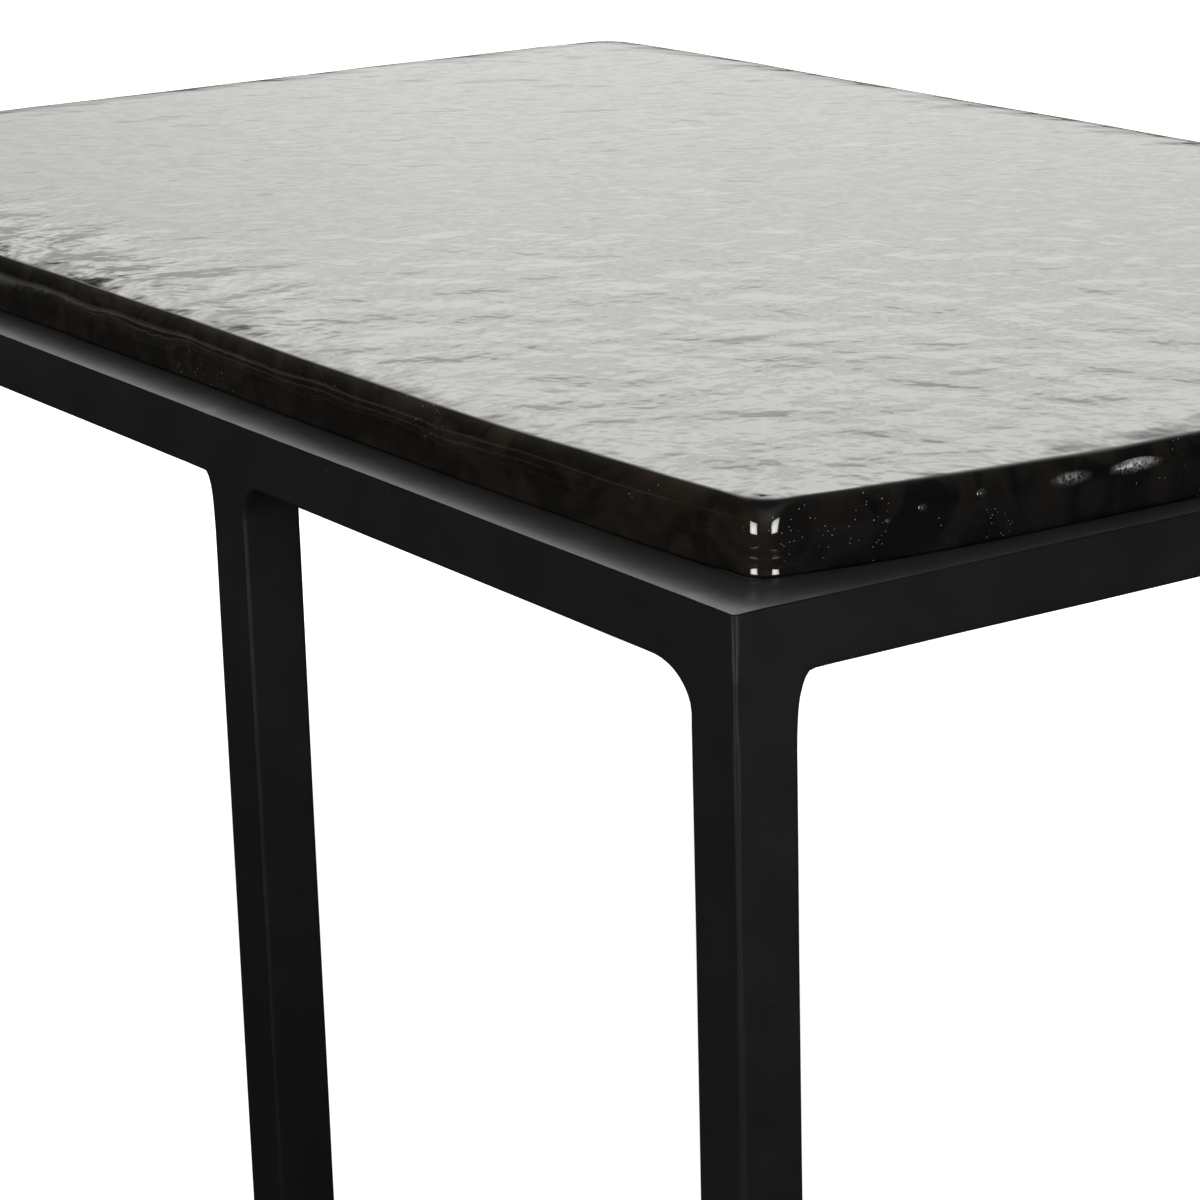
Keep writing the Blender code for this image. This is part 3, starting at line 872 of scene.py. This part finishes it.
def roundedOutline(sizeX, sizeY, radius, steps=5):
    # ring of points round a rounded rectangle, counter-clockwise
    angle = np.linspace(0, np.pi / 2, steps + 1)
    ring = []
    for quarter in range(4):
        turn = angle + quarter * np.pi / 2
        signX, signY = (1, -1, -1, 1)[quarter], (1, 1, -1, -1)[quarter]
        x = signX * (sizeX / 2 - radius) + radius * np.cos(turn)
        y = signY * (sizeY / 2 - radius) + radius * np.sin(turn)
        ring.append(np.stack([x, y], axis=1))
    return np.concatenate(ring)


def stackedPiece(name, levels, material, body, replaced):
    # outlines at rising heights joined by quads, with a flat face at each end
    count = len(levels[0][0])
    points = np.concatenate([np.column_stack([ring, np.full(count, height)]) for ring, height in levels])
    ids = np.arange(len(levels) * count).reshape(len(levels), count)
    after = np.roll(ids, -1, axis=1)
    walls = np.stack([ids[:-1], after[:-1], after[1:], ids[1:]], axis=-1).reshape(-1, 4)
    made = newPiece(name, points, [walls, ids[:1, ::-1], ids[-1:]], material, body, replaced)
    made.data.set_sharp_from_angle(angle=math.radians(50))


def easedEdge(reach, steps):
    # a quarter round from flat to upright: how far in and how far up at each step
    angle = np.pi / 2 * np.arange(steps + 1) / steps
    return list(zip(reach * (1 - np.sin(angle)), reach * (1 - np.cos(angle))))


glide = {
    "cap": 3 * mm,
    "arris": 3 * mm,
    "ease": 1.0 * mm,
    "plug": 20.4 * mm,
    "neck": 0.35 * mm,
    "rib": 0.45 * mm,  # every other level of the plug is drawn in by this
}


def makeGlide(node, body):
    # moulded insert: eased cap, a shadow line under the tube, and a ribbed plug up the bore
    low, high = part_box(node)
    middle = np.array([(low[0] + high[0]) / 2, (low[1] + high[1]) / 2])
    size = high[0] - low[0]

    def outline(inset):
        # the cap's rounded square, drawn in by inset
        across = size - 2 * inset
        return roundedOutline(across, across, max(glide["arris"] - inset, 0.6 * mm)) + middle

    start, end = low[2] + glide["cap"], high[2]
    inner = (size - glide["plug"]) / 2
    levels = [(outline(inset), low[2] + rise) for inset, rise in easedEdge(glide["ease"], 4)]
    levels.append((outline(0), start - 0.5 * mm))
    levels.append((outline(glide["neck"]), start))
    levels.append((outline(inner + 0.2 * mm), start))
    for k in range(1, 9):
        levels.append((outline(inner + (0.0 if k % 2 else glide["rib"])), start + (end - start) * k / 9))
    levels.append((outline(inner + 0.8 * mm), end))
    stackedPiece(node.replace("_glide_", "Glide_"), levels, blackPlastic, body, [node])


pad = {"bulge": 0.35 * mm, "steps": 8}


def makePad(node, body):
    # clear round pad whose rim bulges out as half a wave
    low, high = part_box(node)
    middle = np.array([(low[0] + high[0]) / 2, (low[1] + high[1]) / 2])
    radius, height = (high[0] - low[0]) / 2, high[2] - low[2]
    levels = []
    for angle in np.pi * np.arange(pad["steps"] + 1) / pad["steps"]:
        r = radius - pad["bulge"] * (1 - np.sin(angle))
        ring = roundedOutline(2 * r, 2 * r, r - 1e-6, 7) + middle
        levels.append((ring, low[2] + height * (1 - np.cos(angle)) / 2))
    stackedPiece(node.replace("_pad", "Pad"), levels, clearSilicone, body, [node])


plate = {"ease": 0.6 * mm, "side": 45.1 * mm, "cut": 20 * mm, "lap": 0.4 * mm, "lower": 0.25 * mm}


def makePlate(node, body, plan):
    # corner plate with softened sheared edges; its long corner points to the corner of the frame
    low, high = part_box(node)
    signX = 1 if (low[0] + high[0]) / 2 > (plan["xLow"] + plan["xHigh"]) / 2 else -1
    signY = 1 if (low[1] + high[1]) / 2 > (plan["yLow"] + plan["yHigh"]) / 2 else -1
    corner = np.array([high[0] if signX > 0 else low[0], high[1] if signY > 0 else low[1]])
    corner = corner + plate["lap"] * np.array([signX, signY])
    side, cut = plate["side"], plate["cut"]

    def outline(inset):
        # a square with its inner corner cut off at 45 degrees, drawn in by inset
        diagonal = inset * math.tan(math.radians(22.5))
        ring = np.array(
            [
                [inset, inset],
                [side - inset, inset],
                [side - inset, side - cut - diagonal],
                [side - cut - diagonal, side - inset],
                [inset, side - inset],
            ]
        )
        ring = corner - ring * [signX, signY]
        return ring if signX * signY > 0 else ring[::-1]

    levels = [(outline(inset), low[2] + rise) for inset, rise in easedEdge(plate["ease"], 3)]
    for ring, height in levels[::-1]:
        levels.append((ring, low[2] + high[2] - height - plate["lower"]))
    stackedPiece(node.replace("_tab_", "Plate_"), levels, blackCoat, body, [node])
    return corner, signX, signY, low[2]


bead = {
    "radius": 1.9 * mm,
    "pitch": 3.1 * mm,  # from one puddle of weld to the next
    "swell": (0.16, 0.05),  # share of the radius for each puddle, and for a slow wander
    "wanderLength": 9 * mm,
    "taper": 2 * mm,
    "rowLength": 0.7 * mm,
    "sides": 12,
}


def beadRun(start, end, seed):
    # weld bead: a round section carried from start to end, swelling once for each puddle of weld
    start, end = np.array(start, float), np.array(end, float)
    length = np.linalg.norm(end - start)
    rows, sides = max(12, int(length / bead["rowLength"])), bead["sides"]
    t = np.linspace(0, 1, rows)
    rng = np.random.default_rng(seed)
    along = t * length
    puddle, wander = bead["swell"]
    slow = np.sin(along / bead["wanderLength"] + rng.uniform(0, 6))
    swell = 1 + puddle * np.abs(np.sin(np.pi * along / bead["pitch"])) + wander * slow
    ends = np.sqrt(np.clip(np.minimum(along, length - along) / bead["taper"], 0.02, 1))
    r = bead["radius"] * swell * ends
    axis = (end - start) / length
    side = np.cross(axis, [0, 0, 1.0])
    side /= np.linalg.norm(side)
    up = np.cross(side, axis)
    turn = np.linspace(0, 2 * np.pi, sides + 1)[:-1]
    ring = np.cos(turn)[:, None] * side + np.sin(turn)[:, None] * up
    centre = start + axis * along[:, None]
    points = centre[:, None, :] + r[:, None, None] * ring[None]
    ids = np.arange(rows * sides).reshape(rows, sides)
    after = np.roll(ids, -1, axis=1)
    walls = np.stack([ids[:-1], ids[1:], after[1:], after[:-1]], axis=-1).reshape(-1, 4)
    return points.reshape(-1, 3), walls, [ids[0], ids[-1][::-1]]


def makeBeads(name, runs, body):
    # all the weld beads of one table as one piece
    points, quads, caps = [], [], []
    base = 0
    for seed, (start, end) in enumerate(runs):
        p, q, ends = beadRun(start, end, seed)
        points.append(p)
        quads.append(q + base)
        caps += [ring + base for ring in ends]
        base += len(p)
    faces = [np.concatenate(quads), np.stack(caps)]
    newPiece(name, np.concatenate(points), faces, blackCoat, body)


# the beads run along both outer sides of each corner plate, and under the ends of the loose cross rails
for prefix, plan in (("large", largePlan), ("small", smallPlan)):
    body = f"{prefix}_table"
    runs = []
    side = tube["side"]
    for name in sorted(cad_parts):
        if not name.startswith(prefix):
            continue
        if "_glide_" in name:
            makeGlide(name, body)
        elif "_pad" in name:
            makePad(name, body)
        elif "_tab_" in name:
            corner, signX, signY, under = makePlate(name, body, plan)
            for dx, dy in ((1, 0), (0, 1)):
                inwards = -np.array([signX * dx, signY * dy])
                first, last = corner + inwards * 8 * mm, corner + inwards * (plate["side"] - 3 * mm)
                runs.append(((*first, under - 0.2 * mm), (*last, under - 0.2 * mm)))
    for start in plan["crossRails"]:
        bottom = plan["top"] - side
        if any(abs(start - leg) < mm for leg in plan["midLegs"]):
            continue
        for y, sign in ((plan["yLow"] + side, 1), (plan["yHigh"] - side, -1)):
            level = (y - sign * 0.2 * mm, bottom + 0.2 * mm)
            runs.append(((start + 2 * mm, *level), (start + side - 2 * mm, *level)))
    makeBeads(f"{prefix}WeldBeads", runs, body)
print("feet, pads, plates and welds made")


studio = {
    "floorColour": (0.30, 0.30, 0.298),
    "floorInReflections": (0.014, 0.014, 0.016),
    "floorBeyond": (0.28, 0.28, 0.265),
    "beyond": (0.9, 2.2),  # the reflected floor turns pale between these distances ahead
    "floorGlow": 0.94,
    "contactGlow": 0.25,  # what is left of the glow right beside a foot
    "contactReach": 0.12,
    "floorSize": 30.0,
    "ahead": (-0.834, 0.552, 0.0),  # level direction towards the bright screen
    "aside": (-0.552, -0.834, 0.0),
    "screenStrength": 3.0,
    "overhead": (5.0, 3.4, 420.0),  # side, height, power
    "strips": (("stripLeft", 12.0, 1.75), ("stripRight", 86.0, 1.7)),  # degrees from -Y, distance
    "stripSize": (0.75, 0.6),
    "stripHeight": 0.50,
    "stripPower": 1.8,
    "stripSpread": 50.0,  # degrees, like a gridded soft box
}


def makeFloor(look):
    # a large pale square; its white glow is for the camera only and fades close to the feet, which
    # leaves a soft contact shadow. In reflections it is dark near the tables and pale beyond them
    half = look["floorSize"] / 2
    mesh = bpy.data.meshes.new("paleFloor")
    corners = [(-half, -half, 0), (half, -half, 0), (half, half, 0), (-half, half, 0)]
    mesh.from_pydata(corners, [], [(0, 1, 2, 3)])
    floor = bpy.data.objects.new("paleFloor", mesh)
    scene.collection.objects.link(floor)
    material, tree, shader, where = startMaterial("paleFloor")
    rays = addNode(tree, "ShaderNodeLightPath")
    distance = vectorMaths(tree, "DOT_PRODUCT", where, look["ahead"])
    share = rescale(tree, distance, look["beyond"], kind="SMOOTHSTEP")
    reflected = blend(tree, share, look["floorInReflections"], look["floorBeyond"])
    contact = addNode(tree, "ShaderNodeAmbientOcclusion", {"Distance": look["contactReach"]})
    glow = rescale(tree, contact.outputs["AO"], (0.0, 1.0), (look["contactGlow"], look["floorGlow"]))
    inputs = {
        "Base Color": blend(tree, rays.outputs["Is Glossy Ray"], look["floorColour"], reflected),
        "Roughness": 0.9,
        "Specular IOR Level": 0.0,
        "Emission Color": (1, 1, 1, 1),
        "Emission Strength": maths(tree, "MULTIPLY", rays.outputs["Is Camera Ray"], glow),
    }
    fill(tree, shader, inputs)
    mesh.materials.append(material)


def makeWorld(look):
    # white backdrop to look at; in reflections a bright screen beyond the tables, dark elsewhere
    world = bpy.data.worlds.new("studio")
    scene.world = world
    world.use_nodes = True
    tree = world.node_tree
    tree.nodes.clear()
    where = addNode(tree, "ShaderNodeTexCoord").outputs["Generated"]
    height = addNode(tree, "ShaderNodeSeparateXYZ", {"Vector": where}).outputs["Z"]
    heightStops = [
        (0.00, (0.20, 0.20, 0.19)),
        (0.08, (0.34, 0.34, 0.33)),
        (0.14, (0.49, 0.49, 0.475)),
        (0.20, (0.48, 0.48, 0.465)),
        (0.28, (0.73, 0.73, 0.70)),
        (0.38, (0.96, 0.96, 0.92)),
        (0.58, (1.0, 1.0, 0.97)),
        (0.72, (0.80, 0.80, 0.79)),
        (0.86, grey(0.30)),
        (0.95, grey(0.04)),
    ]
    widthStops = [
        (0.15, grey(0.03)),
        (0.28, grey(0.6)),
        (0.40, grey(1.0)),
        (0.52, grey(1.0)),
        (0.60, grey(0.82)),
        (0.68, grey(0.45)),
        (0.77, grey(0.03)),
    ]
    depth = vectorMaths(tree, "DOT_PRODUCT", where, look["ahead"])
    ahead = rescale(tree, depth, (-0.1, 0.6), (0.13, 1.0), "SMOOTHSTEP")
    across = vectorMaths(tree, "DOT_PRODUCT", where, look["aside"])
    width = ramp(tree, maths(tree, "MULTIPLY_ADD", across, 0.5, 0.5), widthStops)
    screen = maths(tree, "MULTIPLY", ahead, width)
    strength = maths(tree, "MULTIPLY", screen, look["screenStrength"])
    band = ramp(tree, height, heightStops)
    lit = addNode(tree, "ShaderNodeBackground", {"Color": band, "Strength": strength}).outputs[0]
    seen = addNode(tree, "ShaderNodeBackground", {"Color": (1, 1, 1, 1), "Strength": 1.0}).outputs[0]
    fromCamera = addNode(tree, "ShaderNodeLightPath").outputs["Is Camera Ray"]
    mixed = addNode(tree, "ShaderNodeMixShader", {0: fromCamera, 1: lit, 2: seen}).outputs[0]
    addNode(tree, "ShaderNodeOutputWorld", {"Surface": mixed})


def areaLight(name, place, target, width, height, power):
    # a rectangle of light at a place, turned towards its target and not seen by the camera
    data = bpy.data.lights.new(name, "AREA")
    data.shape = "RECTANGLE"
    data.size, data.size_y = width, height
    data.energy = power
    light = bpy.data.objects.new(name, data)
    scene.collection.objects.link(light)
    towards = Vector(target) - Vector(place)
    light.location = place
    light.rotation_mode = "QUATERNION"
    light.rotation_quaternion = towards.to_track_quat("-Z", "Y")
    light.visible_camera = False
    return light


def makeLights(look):
    # one wide light overhead, and two strips level with each other that aim at the near front corner
    side, height, power = look["overhead"]
    overhead = areaLight("overhead", (0, 0, height), (0, 0, 0), side, side, power)
    overhead.visible_glossy = False
    for name, turn, distance in look["strips"]:
        away = Vector((math.sin(math.radians(turn)), -math.cos(math.radians(turn)), 0)) * distance
        place = nearCorner + away
        place.z = look["stripHeight"]
        target = (nearCorner.x, nearCorner.y, look["stripHeight"])
        strip = areaLight(name, place, target, *look["stripSize"], look["stripPower"])
        strip.data.spread = math.radians(look["stripSpread"])


nearCorner = Vector((largePlan["xHigh"], largePlan["yLow"], largePlan["top"]))
makeFloor(studio)
makeWorld(studio)
makeLights(studio)

# the camera's place is counted from the near front corner of the large frame
view = {
    "azimuth": 56.53,
    "elevation": 16.47,
    "roll": -1.56,
    "lens": 110.6,
    "place": (0.8811, -0.6313, 0.3251),
}


def makeCamera(look):
    # looks along the azimuth from +Y towards -X, down by the elevation, turned by the roll
    data = bpy.data.cameras.new("camera")
    data.sensor_width = 36.0
    data.lens = look["lens"]
    data.clip_start = 0.01
    camera = bpy.data.objects.new("camera", data)
    scene.collection.objects.link(camera)
    azimuth, elevation = math.radians(look["azimuth"]), math.radians(look["elevation"])
    level = math.cos(elevation)
    forward = Vector((-math.sin(azimuth) * level, math.cos(azimuth) * level, -math.sin(elevation)))
    aim = forward.to_track_quat("-Z", "Y").to_matrix()
    turn = aim @ Matrix.Rotation(math.radians(look["roll"]), 3, "Z")
    camera.matrix_world = Matrix.Translation(nearCorner + Vector(look["place"])) @ turn.to_4x4()
    scene.camera = camera


makeCamera(view)
scene.view_settings.view_transform = "Standard"
scene.view_settings.look = "None"

print("studio and camera ready")
